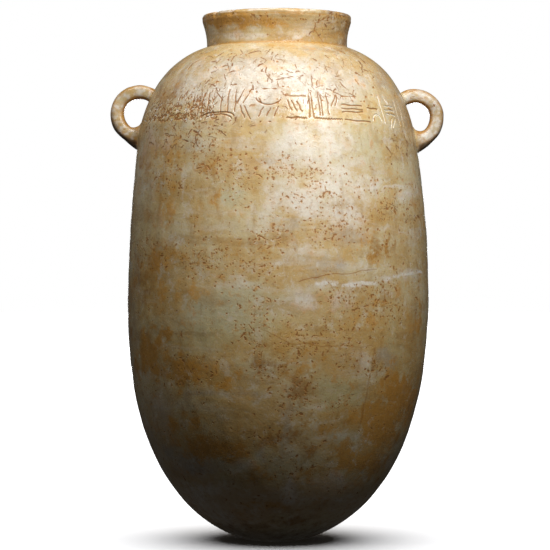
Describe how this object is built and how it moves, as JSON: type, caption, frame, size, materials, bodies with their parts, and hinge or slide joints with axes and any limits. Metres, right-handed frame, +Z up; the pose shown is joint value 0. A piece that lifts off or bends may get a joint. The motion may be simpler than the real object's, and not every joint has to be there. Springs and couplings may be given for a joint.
{
  "type": "alabastron",
  "caption": "Hollow egg-shaped alabaster storage jar with a short flared neck, a flat rim and small ring handles on its shoulder.",
  "frame": {"origin": "middle of the small flat that the jar stands on", "axes": "+Z up along the jar's axis, +X out through the handle on the right of the engraved side, -Y out of the engraved side"},
  "size_m": [0.3327, 0.2998, 0.523],
  "materials": {
    "alabaster": "polished, worn and stained"
  },
  "bodies": {
    "root": {"alabastron": "alabaster"}
  },
  "joints": []
}
